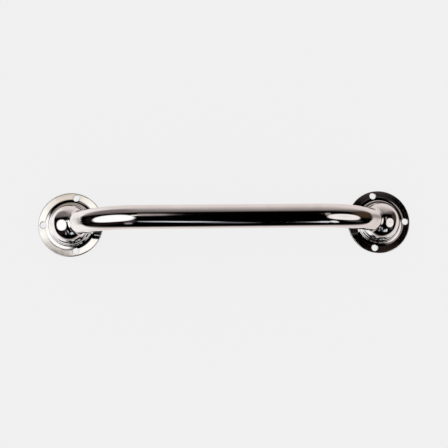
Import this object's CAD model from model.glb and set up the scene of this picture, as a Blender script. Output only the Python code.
from collections import namedtuple
from math import acos, asin, atan2, cos, hypot, pi, radians, sin, sqrt, tan

import bpy
from mathutils import Matrix, Vector


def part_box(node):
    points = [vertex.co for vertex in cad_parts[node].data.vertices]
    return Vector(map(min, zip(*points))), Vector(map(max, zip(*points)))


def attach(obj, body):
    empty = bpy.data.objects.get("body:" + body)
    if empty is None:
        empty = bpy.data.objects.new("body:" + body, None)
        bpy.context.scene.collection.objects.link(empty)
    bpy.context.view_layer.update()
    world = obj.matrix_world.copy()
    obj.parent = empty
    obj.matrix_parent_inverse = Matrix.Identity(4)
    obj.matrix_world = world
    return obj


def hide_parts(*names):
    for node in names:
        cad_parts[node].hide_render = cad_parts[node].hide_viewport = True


# Looks of the boat grab rail: dense meshes of the CAD pieces, polished metal and a studio.
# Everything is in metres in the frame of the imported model.
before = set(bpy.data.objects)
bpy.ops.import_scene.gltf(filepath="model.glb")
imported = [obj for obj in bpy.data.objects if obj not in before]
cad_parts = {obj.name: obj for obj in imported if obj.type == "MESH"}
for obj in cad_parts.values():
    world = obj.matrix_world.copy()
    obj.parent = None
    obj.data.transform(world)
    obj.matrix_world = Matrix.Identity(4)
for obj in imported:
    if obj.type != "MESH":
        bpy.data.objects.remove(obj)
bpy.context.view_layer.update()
MM = 0.001

# ---- sizes read from the frame ----
tube_low, tube_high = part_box("rail_tube")
flange_low, flange_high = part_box("right_flange")
TUBE_RADIUS = (tube_high.y - tube_low.y) / 2
BAR_HEIGHT = tube_high.z - TUBE_RADIUS
RIM_RADIUS = (flange_high.y - flange_low.y) / 2
FLANGE_X = (flange_high.x + flange_low.x) / 2
DOME_TOP = flange_high.z

# ---- sizes that a box can't give: the design's own values ----
LEG_ANGLE = radians(43.5)
BEND_RADIUS = 66 * MM
TUBE_WALL = 1.5 * MM
TUBE_END = 9 * MM           # from the dome's centre to the tube's end
SHEET = 1.5 * MM            # thickness of the pressed flange
RIM_EDGE = 0.6 * MM
STEP_RADIUS = 21.3 * MM
STEP_HEIGHT = 4.5 * MM
STEP_EDGE = 1.1 * MM
FOOT_FILLET = 0.6 * MM      # tight concave rounding at the foot of the step's wall
SWEEP_START = 25.2 * MM     # radius where the flat rim starts to rise towards the step
SWEEP_RADIUS = 16 * MM
DOME_RADIUS = 18 * MM
DOME_FILLET = 1.5 * MM
HOLE_RADIUS = 3.05 * MM
HOLE_EDGE = 0.35 * MM
HOLE_CIRCLE = 26.6 * MM
SIDE_HOLE_ANGLE = radians(101)
NECK_FILLET = 4 * MM
TOE_ANGLE = radians(10)
ROOT_LEG = 2.4 * MM
ROOT_CROWN = 0.2 * MM

DOME_CENTRE = DOME_TOP - DOME_RADIUS
INNER_DOME = DOME_RADIUS - SHEET
NECK_OUT = TUBE_RADIUS + NECK_FILLET * cos(TOE_ANGLE)
NECK_ALONG = sqrt((DOME_RADIUS + NECK_FILLET) ** 2 - NECK_OUT**2)
NECK_TOUCH = atan2(NECK_ALONG, NECK_OUT)
TUBE_MEET = acos(TUBE_RADIUS / INNER_DOME)
SIDES = {"left": -1, "right": 1}

AROUND = 256                # points round each flange, weld and dome
TUBE_AROUND = 144
HOLE_AROUND = 96
DOME_RINGS = 44             # steps from the neck's opening down the dome
RIM_RINGS = 7               # rings across the flat of the rim
EDGE_RINGS = 11             # outer rings of the rim's rounding, left as sheared steel
TUBE_STEP = 3 * MM          # spacing of the rings on the tube's straight stretches
ARC_STEP = radians(6)       # widest turn between two points of a small fillet
FINE_STEP = radians(1.5)    # the same in the wide arcs, where a reflection shows every facet
MOUTH_STEP = radians(15)    # the same in the rounding of a screw hole's mouth
WELD_STEP = radians(2)      # the same down the face of the neck
SHARP_ANGLE = radians(35)   # faces that meet at more than this keep a hard edge
AXIS_GAP = 0.02 * MM        # radius of the pinhole down the middle of a hole's cutter


# ---------------------------------------------------------------- mesh building
def arc_points(centre, radius, start, end, step=ARC_STEP):
    """Points (out, up) along an arc in a section plane, both ends included."""
    count = max(2, int(abs(end - start) / step) + 1)
    turns = [start + (end - start) * i / count for i in range(count + 1)]
    return [(centre[0] + radius * cos(t), centre[1] + radius * sin(t)) for t in turns]


def line_points(first, last, count):
    """Points along a straight stretch of a section, without its two ends."""
    shares = [i / (count + 1) for i in range(1, count + 1)]
    return [tuple(a + (b - a) * s for a, b in zip(first, last)) for s in shares]


def ring_mesh(name, rings):
    """Closed mesh through a loop of closed rings, each with the same number of points."""
    around = len(rings[0])
    vertices = [point for ring in rings for point in ring]
    faces = []
    for i in range(len(rings)):
        here = i * around
        there = (i + 1) % len(rings) * around
        for j in range(around):
            k = (j + 1) % around
            faces.append((here + j, here + k, there + k, there + j))
    mesh = bpy.data.meshes.new(name)
    mesh.from_pydata(vertices, [], faces)
    mesh.shade_smooth()
    mesh.update()
    return mesh


def piece_from(name, mesh):
    """Object in the scene for a mesh."""
    piece = bpy.data.objects.new(name, mesh)
    bpy.context.scene.collection.objects.link(piece)
    return piece


def lathe_rings(section, place, around):
    """Rings made by turning (out, up) points about the Z axis of the placing matrix."""
    turns = [2 * pi * j / around for j in range(around)]
    return [
        [place @ Vector((out * cos(t), out * sin(t), up)) for t in turns]
        for out, up in section
    ]


def settle_normals(piece):
    """Sharp edges where two faces meet hard, and flat faces that stay flat in reflections."""
    piece.data.set_sharp_from_angle(angle=SHARP_ANGLE)
    weighted = piece.modifiers.new("flat_faces_stay_flat", "WEIGHTED_NORMAL")
    weighted.keep_sharp = True
    weighted.weight = 100


def note_sweep(mesh, place):
    """Stores, for the material, (distance down the profile, east, north) about an axis."""
    inverse = place.inverted()
    store = mesh.attributes.new("sweep", "FLOAT_VECTOR", "POINT")
    for vertex, slot in zip(mesh.vertices, store.data):
        local = inverse @ vertex.co
        out = max(hypot(local.x, local.y), 1e-6)
        slot.vector = (out - local.z, local.x / out, local.y / out)


# ---------------------------------------------------------------- the pieces
def leg_matrix(side):
    """Placing matrix at the dome's centre, its Z axis up the leg of the given side."""
    along = Vector((-side * cos(LEG_ANGLE), 0, sin(LEG_ANGLE)))
    across = Vector((0, 1, 0))
    third = across.cross(along)
    turn = Matrix((third, across, along)).transposed().to_4x4()
    return Matrix.Translation((side * FLANGE_X, 0, DOME_CENTRE)) @ turn


def tube_stations():
    """(x, z, heading, distance) down the tube's centre line, from the left end to the right."""
    corner = FLANGE_X - (BAR_HEIGHT - DOME_CENTRE) / tan(LEG_ANGLE)
    bar_end = corner - BEND_RADIUS * tan(LEG_ANGLE / 2)
    bend_x = bar_end + BEND_RADIUS * sin(LEG_ANGLE)
    bend_z = BAR_HEIGHT - BEND_RADIUS * (1 - cos(LEG_ANGLE))
    end_x = FLANGE_X - TUBE_END * cos(LEG_ANGLE)
    leg = (end_x - bend_x) / cos(LEG_ANGLE)
    half = []
    count = int(bar_end / TUBE_STEP)
    half += [(bar_end * i / count, BAR_HEIGHT, 0, bar_end * i / count) for i in range(count)]
    count = int(LEG_ANGLE / FINE_STEP)
    for i in range(count):
        turn = LEG_ANGLE * i / count
        x = bar_end + BEND_RADIUS * sin(turn)
        z = BAR_HEIGHT - BEND_RADIUS * (1 - cos(turn))
        half.append((x, z, -turn, bar_end + BEND_RADIUS * turn))
    count = int(leg / TUBE_STEP)
    for i in range(count + 1):
        run = leg * i / count
        x = bend_x + run * cos(LEG_ANGLE)
        z = bend_z - run * sin(LEG_ANGLE)
        half.append((x, z, -LEG_ANGLE, bar_end + BEND_RADIUS * LEG_ANGLE + run))
    mirrored = [(-x, z, -heading, -run) for x, z, heading, run in reversed(half[1:])]
    return mirrored + half


def tube_ring(station, radius):
    """Ring of points round the tube's centre line at one station."""
    x, z, heading, _ = station
    out = Vector((-sin(heading), 0, cos(heading)))
    across = Vector((0, 1, 0))
    centre = Vector((x, 0, z))
    turns = [2 * pi * j / TUBE_AROUND for j in range(TUBE_AROUND)]
    return [centre + radius * (cos(t) * out + sin(t) * across) for t in turns]


def build_tube():
    """The bent tube, hollow from end to end, with its straightened shape kept for the polish."""
    stations = tube_stations()
    outer = [(s, TUBE_RADIUS) for s in stations]
    inner = [(s, TUBE_RADIUS - TUBE_WALL) for s in reversed(stations)]
    mesh = ring_mesh("rail_tube_skin", [tube_ring(s, radius) for s, radius in outer + inner])
    store = mesh.attributes.new("sweep", "FLOAT_VECTOR", "POINT")
    for i, (station, radius) in enumerate(outer + inner):
        for j in range(TUBE_AROUND):
            turn = 2 * pi * j / TUBE_AROUND
            slot = store.data[i * TUBE_AROUND + j]
            slot.vector = (station[3], radius * cos(turn), radius * sin(turn))
    piece = piece_from("rail_tube_skin", mesh)
    for polygon in mesh.polygons:
        ring = polygon.index // TUBE_AROUND
        polygon.material_index = 0 if ring < len(outer) - 1 else 1
    settle_normals(piece)
    return piece


def dome_point(toward, radius):
    """Where a direction from the dome's centre meets the dome, a cylinder below its equator."""
    if toward.z >= 0:
        return radius * toward.normalized()
    return radius / hypot(toward.x, toward.y) * toward


def dome_rings(radius, side, base_z):
    """Rings over the dome from the neck's opening down to where the base fillet starts."""
    leg = leg_matrix(side).to_3x3()
    out = cos(NECK_TOUCH)
    up = sin(NECK_TOUCH)
    rings = []
    turns = [2 * pi * j / AROUND for j in range(AROUND)]
    for i in range(DOME_RINGS + 1):
        share = i / DOME_RINGS
        ring = []
        for t in turns:
            mouth = leg @ Vector((out * cos(t), out * sin(t), up))
            base = leg @ Vector((cos(t), sin(t), 0))
            base.z = 0
            base = base.normalized() * radius
            base.z = base_z - DOME_CENTRE
            turn = mouth.angle(base)
            toward = sin((1 - share) * turn) * mouth + sin(share * turn) * base.normalized()
            ring.append(dome_point(toward, radius))
        rings.append(ring)
    return rings


def flange_rings(side):
    """Every ring of the pressing: over the dome, out to the rim, and back underneath."""
    centre = Vector((side * FLANGE_X, 0, DOME_CENTRE))
    base = (DOME_RADIUS + DOME_FILLET, STEP_HEIGHT + DOME_FILLET)
    shoulder = (STEP_RADIUS - STEP_EDGE, STEP_HEIGHT - STEP_EDGE)
    sweep = (SWEEP_START, SHEET + SWEEP_RADIUS)
    foot_out = STEP_RADIUS + FOOT_FILLET
    lean = asin((SWEEP_START - foot_out) / (SWEEP_RADIUS - FOOT_FILLET))
    foot = (foot_out, sweep[1] - (SWEEP_RADIUS - FOOT_FILLET) * cos(lean))
    rim = (RIM_RADIUS - RIM_EDGE, SHEET - RIM_EDGE)
    quarter = pi / 2
    down = pi + quarter
    outer = arc_points(base, DOME_FILLET, pi, down)[1:]
    outer += arc_points(shoulder, STEP_EDGE, quarter, 0)
    outer += arc_points(foot, FOOT_FILLET, pi, down - lean)
    outer += arc_points(sweep, SWEEP_RADIUS, down - lean, down, FINE_STEP)[1:]
    outer += line_points((SWEEP_START, SHEET), (rim[0], SHEET), RIM_RINGS)
    outer += arc_points(rim, RIM_EDGE, quarter, 0)
    inner = [(RIM_RADIUS, 0)]
    inner += arc_points(sweep, SWEEP_RADIUS + SHEET, down, down - lean, FINE_STEP)
    inner += arc_points(foot, FOOT_FILLET + SHEET, down - lean, pi)[1:]
    inner += [(base[0], STEP_HEIGHT - SHEET)]
    inner += arc_points(base, DOME_FILLET + SHEET, pi + quarter, pi)[:-1]
    top = dome_rings(DOME_RADIUS, side, base[1])
    under = dome_rings(INNER_DOME, side, base[1])
    azimuths = [atan2(point.y, point.x) for point in top[-1]]
    rings = [[centre + point for point in ring] for ring in top]
    for out, up in outer + inner:
        ring = [(out * cos(a), out * sin(a), up - DOME_CENTRE) for a in azimuths]
        rings.append([centre + Vector(point) for point in ring])
    rings += [[centre + point for point in ring] for ring in reversed(under)]
    return rings, len(top) + len(outer)


def hole_cutter(x, y):
    """Tool for one screw hole whose upper edge is rounded over."""
    mouth = HOLE_RADIUS + HOLE_EDGE
    section = [(AXIS_GAP, -SHEET), (HOLE_RADIUS, -SHEET)]
    section += arc_points((mouth, SHEET - HOLE_EDGE), HOLE_EDGE, pi, pi / 2, MOUTH_STEP)
    section += [(mouth, 2 * SHEET), (AXIS_GAP, 2 * SHEET)]
    place = Matrix.Translation((x, y, 0))
    mesh = ring_mesh("hole_cutter", lathe_rings(section, place, HOLE_AROUND))
    for slot in range(3):
        mesh.materials.append(None)
    for polygon in mesh.polygons:
        polygon.material_index = 2 if polygon.index // HOLE_AROUND == 1 else 0
    return piece_from("hole_cutter", mesh)


def cut(piece, tools):
    """Subtracts the tools from the piece's mesh and throws them away."""
    for tool in tools:
        step = piece.modifiers.new("cut", "BOOLEAN")
        step.object = tool
        step.solver = "EXACT"
    graph = bpy.context.evaluated_depsgraph_get()
    finished = bpy.data.meshes.new_from_object(piece.evaluated_get(graph))
    piece.modifiers.clear()
    piece.data = finished
    for tool in tools:
        bpy.data.objects.remove(tool)


def build_flange(side_name):
    """One pressed flange with its three screw holes and the dome's opening for the leg."""
    side = SIDES[side_name]
    rings, first_under = flange_rings(side)
    mesh = ring_mesh(f"{side_name}_flange_skin", rings)
    first_edge = first_under - EDGE_RINGS
    for slot in range(3):
        mesh.materials.append(None)
    for polygon in mesh.polygons:
        ring = polygon.index // AROUND
        if ring >= first_under:
            polygon.material_index = 1
        elif ring >= first_edge:
            polygon.material_index = 2
    piece = piece_from(f"{side_name}_flange_skin", mesh)
    holes = []
    for turn in (0, SIDE_HOLE_ANGLE, -SIDE_HOLE_ANGLE):
        x = side * (FLANGE_X + HOLE_CIRCLE * cos(turn))
        holes.append(hole_cutter(x, HOLE_CIRCLE * sin(turn)))
    cut(piece, holes)
    piece.data.shade_smooth()
    note_sweep(piece.data, Matrix.Translation((side * FLANGE_X, 0, 0)))
    settle_normals(piece)
    return piece


def build_neck_weld(side_name):
    """Polished ring of weld that blends the dome into the tube."""
    centre = (NECK_OUT, NECK_ALONG)
    face = arc_points(centre, NECK_FILLET, pi + TOE_ANGLE, pi + NECK_TOUCH, WELD_STEP)
    back = arc_points((0, 0), INNER_DOME, NECK_TOUCH, TUBE_MEET)
    place = leg_matrix(SIDES[side_name])
    mesh = ring_mesh(f"{side_name}_neck_skin", lathe_rings(face + back, place, AROUND))
    note_sweep(mesh, place)
    piece = piece_from(f"{side_name}_neck_skin", mesh)
    settle_normals(piece)
    return piece


def build_root_weld(side_name):
    """Hand-laid bead in the corner between the dome's inside and the tube, with its ripples."""
    ripples = 34
    ripple_depth = 0.22 * MM
    corner = (INNER_DOME * cos(TUBE_MEET), INNER_DOME * sin(TUBE_MEET))
    dome_angle = TUBE_MEET - ROOT_LEG / INNER_DOME
    low = (corner[0], corner[1] - ROOT_LEG)
    high = (INNER_DOME * cos(dome_angle), INNER_DOME * sin(dome_angle))
    middle = ((low[0] + high[0]) / 2, (low[1] + high[1]) / 2)
    away = Vector((middle[0] - corner[0], middle[1] - corner[1])).normalized()
    place = leg_matrix(SIDES[side_name])
    steps = 12
    rings = []
    for i in range(steps + 1):
        share = i / steps
        bulge = 4 * share * (1 - share)
        ring = []
        for j in range(AROUND):
            turn = 2 * pi * j / AROUND
            drift = 0.6 * sin(3 * turn + 1) + 0.9 * sin(7 * turn)
            lag = 1.4 * bulge
            scallop = abs(sin((ripples * turn + drift) / 2 - lag))
            height = bulge * (ROOT_CROWN - ripple_depth * (1 - scallop) ** 2)
            out = low[0] + (high[0] - low[0]) * share + away.x * height
            up = low[1] + (high[1] - low[1]) * share + away.y * height
            ring.append(place @ Vector((out * cos(turn), out * sin(turn), up)))
        rings.append(ring)
    back = arc_points((0, 0), INNER_DOME, dome_angle, TUBE_MEET)[1:]
    rings += lathe_rings(back, place, AROUND)
    mesh = ring_mesh(f"{side_name}_root_bead", rings)
    note_sweep(mesh, place)
    piece = piece_from(f"{side_name}_root_bead", mesh)
    settle_normals(piece)
    return piece


# ---------------------------------------------------------------- node graphs
class Graph:
    """Shorthand for adding nodes to a node tree and joining them."""

    def __init__(self, tree, output="ShaderNodeOutputMaterial"):
        self.tree = tree
        self.output = output
        tree.nodes.clear()

    def add(self, kind, inputs=(), **settings):
        node = self.tree.nodes.new(kind)
        for name, value in settings.items():
            setattr(node, name, value)
        for name, value in dict(inputs).items():
            self.feed(node.inputs[name], value)
        return node

    def feed(self, socket, value):
        if isinstance(value, bpy.types.NodeSocket):
            self.tree.links.new(value, socket)
        else:
            socket.default_value = value

    def math(self, operation, *values, clamp=False):
        node = self.add("ShaderNodeMath", operation=operation, use_clamp=clamp)
        for socket, value in zip(node.inputs, values):
            self.feed(socket, value)
        return node.outputs[0]

    def scaled(self, vector, factors):
        node = self.add("ShaderNodeVectorMath", operation="MULTIPLY")
        self.feed(node.inputs[0], vector)
        self.feed(node.inputs[1], factors)
        return node.outputs[0]

    def noise(self, vector, scale, detail=2.0, roughness=0.5, distortion=0.0):
        values = {"Vector": vector, "Scale": scale, "Detail": detail}
        values |= {"Roughness": roughness, "Distortion": distortion}
        return self.add("ShaderNodeTexNoise", values).outputs["Fac"]

    def ramp(self, value, low, high, start=0.0, end=1.0, kind="SMOOTHSTEP"):
        values = {"Value": value, "From Min": low, "From Max": high}
        values |= {"To Min": start, "To Max": end}
        return self.add("ShaderNodeMapRange", values, interpolation_type=kind).outputs[0]

    def blend(self, share, first, second):
        node = self.add("ShaderNodeMix", data_type="RGBA")
        colours = [s for s in node.inputs if s.type == "RGBA"]
        self.feed(node.inputs[0], share)
        self.feed(colours[0], first)
        self.feed(colours[1], second)
        return next(s for s in node.outputs if s.type == "RGBA")

    def surface(self, shader):
        """Joins a shader to the output of the material or world."""
        output = self.add(self.output)
        self.feed(output.inputs["Surface"], shader.outputs[0])

    def metal(self, colour, rough, normal):
        """Metal of this colour, roughness and surface normal, joined to the output."""
        values = {"Base Color": colour, "Metallic": 1.0, "Roughness": rough, "Normal": normal}
        self.surface(self.add("ShaderNodeBsdfPrincipled", values))


def tone(red, green=None, blue=None):
    """Linear colour for display greys or colours given from 0 to 255."""
    shades = (red, red if green is None else green, red if blue is None else blue)
    return tuple((shade / 255) ** 2.2 for shade in shades) + (1.0,)


# ---------------------------------------------------------------- materials
def new_material(name):
    """A material and the empty graph that will hold its nodes."""
    material = bpy.data.materials.new(name)
    material.use_nodes = True
    return material, Graph(material.node_tree)


def polished_metal(name, tint, grain, gloss):
    """Mirror-polished stainless: faint mop lines, hairline scratches, smudges and waviness."""
    material, graph = new_material(name)
    place = graph.add("ShaderNodeTexCoord").outputs["Object"]
    sweep = graph.add("ShaderNodeAttribute", attribute_name="sweep").outputs["Vector"]
    mop = graph.noise(graph.scaled(sweep, grain), 1.0, 3.0, 0.6)
    smudge = graph.noise(place, 55.0, 4.0, 0.6, 0.8)
    wipe = graph.noise(place, 210.0, 3.0, 0.55, 1.5)
    hair_cells = graph.add(
        "ShaderNodeTexVoronoi",
        {"Vector": graph.scaled(sweep, tuple(g * 0.35 for g in grain)), "Scale": 1.0},
        feature="DISTANCE_TO_EDGE",
    ).outputs["Distance"]
    hair = graph.ramp(hair_cells, 0.0, 0.012, 1.0, 0.0)
    dull = graph.math("MULTIPLY", graph.ramp(smudge, 0.52, 0.75), graph.ramp(wipe, 0.35, 0.7))
    rough = graph.math("MULTIPLY_ADD", dull, 0.07, gloss)
    rough = graph.math("MULTIPLY_ADD", mop, 0.02, rough)
    rough = graph.math("MULTIPLY_ADD", hair, 0.03, rough)
    deep = tuple(c * 0.93 for c in tint[:3]) + (1.0,)
    colour = graph.blend(graph.ramp(smudge, 0.3, 0.7), tint, deep)
    wave = graph.add(
        "ShaderNodeBump",
        {"Strength": 0.02, "Distance": 0.004, "Height": graph.noise(place, 38.0, 1.0)},
    )
    lines = graph.add(
        "ShaderNodeBump",
        {"Strength": 0.05, "Distance": 0.00002, "Height": mop, "Normal": wave.outputs[0]},
    )
    scratch = graph.add(
        "ShaderNodeBump",
        {"Strength": 0.1, "Distance": 0.00001, "Height": hair, "Normal": lines.outputs[0]},
    )
    graph.metal(colour, rough, scratch.outputs[0])
    return material


def mill_metal(name):
    """Unpolished stainless inside the dome and the tube: matt, rolled and lightly stained."""
    material, graph = new_material(name)
    place = graph.add("ShaderNodeTexCoord").outputs["Object"]
    rolled = graph.noise(graph.scaled(place, (40.0, 1400.0, 300.0)), 1.0, 4.0, 0.6)
    stain = graph.noise(place, 90.0, 5.0, 0.62, 0.6)
    clean = (0.46, 0.45, 0.43, 1)
    stained = (0.30, 0.28, 0.25, 1)
    colour = graph.blend(graph.ramp(stain, 0.35, 0.7), clean, stained)
    rough = graph.math("MULTIPLY_ADD", rolled, 0.16, 0.34)
    bump = graph.add("ShaderNodeBump", {"Strength": 0.25, "Distance": 0.00003, "Height": rolled})
    graph.metal(colour, rough, bump.outputs[0])
    return material


def sheared_metal(name):
    """Cut edge of the sheet: dark satin steel with fine lines across it."""
    material, graph = new_material(name)
    place = graph.add("ShaderNodeTexCoord").outputs["Object"]
    lines = graph.noise(graph.scaled(place, (2600.0, 2600.0, 300.0)), 1.0, 3.0, 0.6)
    blotch = graph.noise(place, 400.0, 3.0, 0.6)
    grey = (0.20, 0.19, 0.18, 1)
    dark = (0.11, 0.10, 0.09, 1)
    colour = graph.blend(graph.ramp(blotch, 0.35, 0.65), grey, dark)
    rough = graph.math("MULTIPLY_ADD", lines, 0.2, 0.32)
    bump = graph.add("ShaderNodeBump", {"Strength": 0.3, "Distance": 0.00003, "Height": lines})
    graph.metal(colour, rough, bump.outputs[0])
    return material


def raw_weld(name):
    """Weld metal as laid: matt grey with straw, brown and blue heat tints and fine spatter."""
    material, graph = new_material(name)
    place = graph.add("ShaderNodeTexCoord").outputs["Object"]
    patch = graph.noise(place, 160.0, 3.0, 0.55, 0.4)
    fine = graph.noise(place, 2600.0, 3.0, 0.6)
    straw = graph.blend(graph.ramp(patch, 0.35, 0.5), (0.42, 0.41, 0.40, 1), (0.43, 0.33, 0.20, 1))
    brown = graph.blend(graph.ramp(patch, 0.5, 0.6), straw, (0.26, 0.16, 0.13, 1))
    blue = graph.blend(graph.ramp(patch, 0.6, 0.7), brown, (0.15, 0.19, 0.30, 1))
    rough = graph.math("MULTIPLY_ADD", fine, 0.25, 0.32)
    bump = graph.add("ShaderNodeBump", {"Strength": 0.5, "Distance": 0.00006, "Height": fine})
    graph.metal(blue, rough, bump.outputs[0])
    return material


# ---------------------------------------------------------------- the studio
# The studio is laid out on a map of the sky: x and y are degrees from straight overhead,
# towards +X and towards +Y. The horizon is at 90 and straight down at 180.
Card = namedtuple("Card", "x y wide high turn soft square colour strength")

WHITE_LEFT = tone(255, 249, 247)
WHITE_RIGHT = tone(228, 217, 214)
HAZE = tone(114, 106, 104)
CEILING = tone(6, 3, 3)
PAPER = tone(241)           # what the camera sees round the rail
HORIZON = 97.4              # degrees from overhead where the white room stops
HORIZON_TILT = 2.3          # further down towards +X by this much, and less towards -X
HORIZON_SAG = 33.0          # and further down by this much towards +Y and towards -Y
CARDS = [
    Card(-42, 58, 36, 20, 0, 0.45, 2.0, tone(110, 101, 100), 0.9),
    Card(82, 22, 19, 30, 0, 0.5, 2.0, tone(68, 55, 43), 1.0),
    Card(-50, -62, 28, 12, 0, 0.6, 2.0, tone(40, 31, 29), 0.8),
    Card(-17, -46, 8, 18, 0, 0.6, 2.0, tone(70, 65, 67), 1.0),
    Card(62, -48, 14, 10, 0, 0.6, 2.0, tone(74, 73, 74), 1.0),
    Card(-80, -10, 7, 30, 0, 0.6, 2.0, tone(52, 45, 44), 0.3),
    Card(21.8, 5, 4.2, 11.5, 0, 0.1, 5.0, tone(146, 136, 134), 1.0),
    Card(-41, -14.5, 32, 32.5, 0, 0.1, 2.3, tone(268), 1.0),
    Card(48, -18, 26.5, 27, 0, 0.1, 2.3, tone(252, 246, 244), 1.0),
    Card(48, -12, 10, 6, 0, 0.8, 2.0, tone(226, 226, 230), 0.8),
    Card(-4, 12, 2, 10, 0, 0.5, 2.0, tone(158, 148, 146), 1.0),
    Card(-9.5, 7.8, 4.6, 4.2, 0, 0.3, 2.5, tone(268, 266, 260), 1.0),
    Card(-10.5, 11.2, 2.6, 1.8, 0, 0.5, 2.0, tone(196, 180, 160), 1.0),
    Card(-11.2, 4.7, 2.0, 1.4, 0, 0.5, 2.0, tone(104, 88, 76), 1.0),
    Card(13.5, 11.2, 2.5, 1.4, 0, 0.6, 2.0, tone(84, 78, 76), 1.0),
    Card(14.5, 4.2, 3.0, 1.2, 0, 0.6, 2.0, tone(52, 42, 38), 1.0),
    Card(-18, -70, 5, 8, 0, 0.35, 2.5, tone(150, 145, 148), 1.0),
    Card(-1.5, -58, 2.4, 9, 18, 0.5, 2.0, tone(210, 215, 222), 1.0),
    Card(3.5, -73, 2.2, 6, 18, 0.5, 2.0, tone(112, 114, 118), 1.0),
    Card(20, -72, 8, 8, 0, 0.2, 3.0, tone(212, 215, 220), 1.0),
    Card(33, -68, 5.5, 10, 15, 0.25, 2.5, tone(240, 243, 247), 1.0),
]


def sky_map(graph):
    """(x, y, zenith angle, cosine of the azimuth from +Y) of a direction, in degrees."""
    direction = graph.add("ShaderNodeTexCoord").outputs["Generated"]
    split = graph.add("ShaderNodeSeparateXYZ", {"Vector": direction}).outputs
    squares = [graph.math("POWER", part, 2.0) for part in split[:2]]
    across = graph.math("SQRT", graph.math("ADD", *squares))
    across = graph.math("MAXIMUM", across, 1e-5)
    zenith = graph.math("MULTIPLY", graph.math("ARCTAN2", across, split[2]), 180 / pi)
    east = graph.math("DIVIDE", split[0], across)
    north = graph.math("DIVIDE", split[1], across)
    x = graph.math("MULTIPLY", east, zenith)
    y = graph.math("MULTIPLY", north, zenith)
    return x, y, zenith, north


def card_mask(graph, x, y, card):
    """1 on a card, falling to 0 over its soft edge."""
    c = cos(radians(card.turn))
    s = sin(radians(card.turn))
    east = graph.math("SUBTRACT", x, float(card.x))
    north = graph.math("SUBTRACT", y, float(card.y))
    u = graph.math("ADD", graph.math("MULTIPLY", east, c), graph.math("MULTIPLY", north, s))
    v = graph.math("SUBTRACT", graph.math("MULTIPLY", north, c), graph.math("MULTIPLY", east, s))
    parts = []
    for offset, half in ((u, card.wide), (v, card.high)):
        reach = graph.math("ABSOLUTE", graph.math("DIVIDE", offset, float(half)))
        parts.append(graph.math("POWER", reach, card.square))
    far = graph.math("POWER", graph.math("ADD", *parts), 1 / card.square)
    return graph.ramp(far, 1 + card.soft, 1 - card.soft, 0.0, card.strength)


def studio_world():
    """White room below and around, dark ceiling, and soft light cards on it."""
    world = bpy.data.worlds.new("studio")
    world.use_nodes = True
    graph = Graph(world.node_tree, "ShaderNodeOutputWorld")
    x, y, zenith, north = sky_map(graph)
    side = graph.math("DIVIDE", x, zenith)
    edge = graph.math("MULTIPLY_ADD", side, HORIZON_TILT, HORIZON)
    edge = graph.math("MULTIPLY_ADD", graph.math("MULTIPLY", north, north), HORIZON_SAG, edge)
    fade_ahead = graph.ramp(north, 0.4, 1.0, 0.2, 90.0)
    fade_behind = graph.ramp(north, -0.4, -1.0, 0.0, 22.0)
    fade = graph.math("ADD", fade_ahead, fade_behind)
    start = graph.math("SUBTRACT", edge, fade)
    end = graph.math("SUBTRACT", edge, graph.ramp(north, 0.6, 1.0, -0.2, 28.0))
    share = graph.ramp(zenith, start, end, kind="LINEAR")
    share = graph.math("POWER", share, graph.ramp(north, 0.3, -0.3, 1.0, 2.0))
    white = graph.blend(graph.ramp(side, -0.3, -0.75), WHITE_RIGHT, WHITE_LEFT)
    colour = graph.blend(graph.ramp(y, 30.0, 46.0, 0.0, 0.95), CEILING, HAZE)
    colour = graph.blend(share, colour, white)
    for card in CARDS:
        colour = graph.blend(card_mask(graph, x, y, card), colour, card.colour)
    path = graph.add("ShaderNodeLightPath").outputs
    plain = graph.math("MAXIMUM", path["Is Camera Ray"], path["Is Diffuse Ray"])
    colour = graph.blend(plain, colour, PAPER)
    graph.surface(graph.add("ShaderNodeBackground", {"Color": colour, "Strength": 1.0}))
    bpy.context.scene.world = world


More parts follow.
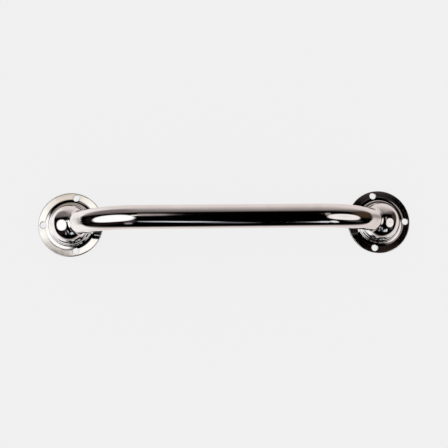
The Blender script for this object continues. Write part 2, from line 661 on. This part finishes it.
def studio_floor():
    """Pale paper under the rail, lit so evenly that it shows only a trace of shadow."""
    half = 3.0
    drop = 0.1 * MM
    corners = [(-half, -half, -drop), (half, -half, -drop), (half, half, -drop), (-half, half, -drop)]
    mesh = bpy.data.meshes.new("studio_floor")
    mesh.from_pydata(corners, [], [(0, 1, 2, 3)])
    material, graph = new_material("pale_paper")
    glow = graph.add("ShaderNodeEmission", {"Color": PAPER, "Strength": 0.9})
    dim_paper = tuple(c * 0.1 for c in PAPER[:3]) + (1.0,)
    matt = graph.add("ShaderNodeBsdfDiffuse", {"Color": dim_paper})
    both = graph.add("ShaderNodeAddShader")
    graph.feed(both.inputs[0], glow.outputs[0])
    graph.feed(both.inputs[1], matt.outputs[0])
    graph.surface(both)
    mesh.materials.append(material)
    floor = piece_from("studio_floor", mesh)
    floor.visible_glossy = False


def camera():
    """Camera above the rail and a little in front, its picture square."""
    yaw = Matrix.Rotation(radians(3.437), 3, "Y")
    pitch = Matrix.Rotation(radians(-7.616), 3, "X")
    roll = Matrix.Rotation(radians(0.995), 3, "Z")
    data = bpy.data.cameras.new("camera")
    data.lens = 59.55
    data.shift_x = -0.035
    eye = bpy.data.objects.new("camera", data)
    aim = (roll @ pitch @ yaw).transposed().to_4x4()
    eye.matrix_world = Matrix.Translation((-0.03069, -0.09810, 0.72753)) @ aim
    bpy.context.scene.collection.objects.link(eye)
    bpy.context.scene.camera = eye


# ---------------------------------------------------------------- assembly
def dress(piece, slot, node, *materials):
    """Gives a piece its materials, its body, its slot and the CAD node that it stands for."""
    slots = piece.data.materials
    for index, material in enumerate(materials):
        if index < len(slots):
            slots[index] = material
        else:
            slots.append(material)
    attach(piece, "root")
    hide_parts(node)


TINT = (0.93, 0.92, 0.91, 1.0)
tube_polish = polished_metal("tube_polish", TINT, (35.0, 5200.0, 5200.0), 0.035)
flange_polish = polished_metal("flange_polish", TINT, (5200.0, 9.0, 9.0), 0.035)
neck_polish = polished_metal("neck_polish", TINT, (5200.0, 9.0, 9.0), 0.05)
mill_finish = mill_metal("mill_finish")
sheared_edge = sheared_metal("sheared_edge")
weld_raw = raw_weld("weld_raw")

dress(build_tube(), "tube_polish", "rail_tube", tube_polish, mill_finish)
for side_name in SIDES:
    flange = build_flange(side_name)
    dress(flange, "flange_polish", f"{side_name}_flange", flange_polish, mill_finish, sheared_edge)
    dress(build_neck_weld(side_name), "neck_polish", f"{side_name}_neck_weld", neck_polish)
    dress(build_root_weld(side_name), "weld_raw", f"{side_name}_root_weld", weld_raw)

studio_world()
studio_floor()
camera()
bpy.context.scene.view_settings.view_transform = "Standard"
